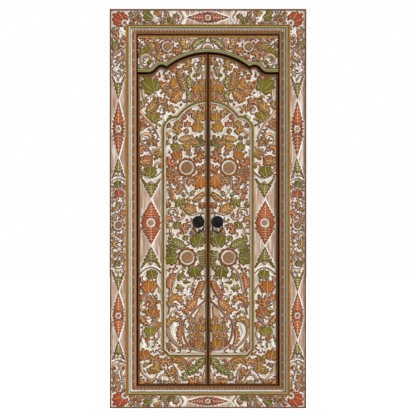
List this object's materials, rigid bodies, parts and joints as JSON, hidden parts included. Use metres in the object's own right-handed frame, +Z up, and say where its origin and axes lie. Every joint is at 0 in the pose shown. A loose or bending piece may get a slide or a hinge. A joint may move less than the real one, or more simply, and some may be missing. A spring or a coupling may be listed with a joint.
{
  "type": "carved temple door",
  "caption": "Painted, carved wooden double door in its own frame, with cusped transom, pivot-hung leaves that swing inwards and ring pulls.",
  "frame": {"origin": "middle of the sill's bottom face, on the plane of the leaves' rebated edges", "axes": "+Z up, -Y out of the carved front, +X to the right as seen from the front"},
  "size_m": [1.083, 0.11, 2.2],
  "materials": {
    "carved_painted_wood": "worn paint",
    "painted_moulding": "worn paint",
    "plain_timber": "oiled",
    "black_iron": "blackened",
    "pivot_iron": "plain"
  },
  "bodies": {
    "frame": {"sill": "plain_timber", "head": "plain_timber", "frame_pegs": "plain_timber", "left_jamb": "plain_timber", "right_jamb": "plain_timber", "casing_left": "carved_painted_wood", "bead_left": "painted_moulding", "sight_left": "painted_moulding", "casing_right": "carved_painted_wood", "bead_right": "painted_moulding", "sight_right": "painted_moulding", "casing_top": "carved_painted_wood", "bead_top": "painted_moulding", "sight_top": "painted_moulding", "casing_bottom": "carved_painted_wood", "bead_bottom": "painted_moulding", "sight_bottom": "painted_moulding", "transom_panel": "carved_painted_wood", "arch_moulding": "painted_moulding", "left_top_socket": "pivot_iron", "left_bottom_socket": "pivot_iron", "right_top_socket": "pivot_iron", "right_bottom_socket": "pivot_iron"},
    "left_door": {"left_leaf": "carved_painted_wood", "left_top_pin": "pivot_iron", "left_bottom_pin": "pivot_iron", "left_pull_plate": "black_iron", "left_pull_eye": "black_iron", "left_pull_washer": "black_iron"},
    "left_pull": {"left_ring": "black_iron"},
    "right_door": {"right_leaf": "carved_painted_wood", "right_top_pin": "pivot_iron", "right_bottom_pin": "pivot_iron", "right_pull_plate": "black_iron", "right_pull_eye": "black_iron", "right_pull_washer": "black_iron"},
    "right_pull": {"right_ring": "black_iron"}
  },
  "joints": [
    {"name": "left_leaf_swing", "type": "hinge", "parent": "frame", "child": "left_door", "pos_m": [-0.41, 0.009, 1], "axis": [0, 0, 1], "range_deg": [0, 90]},
    {"name": "right_leaf_swing", "type": "hinge", "parent": "frame", "child": "right_door", "pos_m": [0.41, 0.009, 1], "axis": [0, 0, -1], "range_deg": [0, 90]},
    {"name": "left_ring_swing", "type": "hinge", "parent": "left_door", "child": "left_pull", "pos_m": [-0.0525, -0.0327, 1.027], "axis": [1, 0, 0], "range_deg": [-165, 8]},
    {"name": "right_ring_swing", "type": "hinge", "parent": "right_door", "child": "right_pull", "pos_m": [0.0525, -0.0327, 1.027], "axis": [1, 0, 0], "range_deg": [-165, 8]}
  ]
}
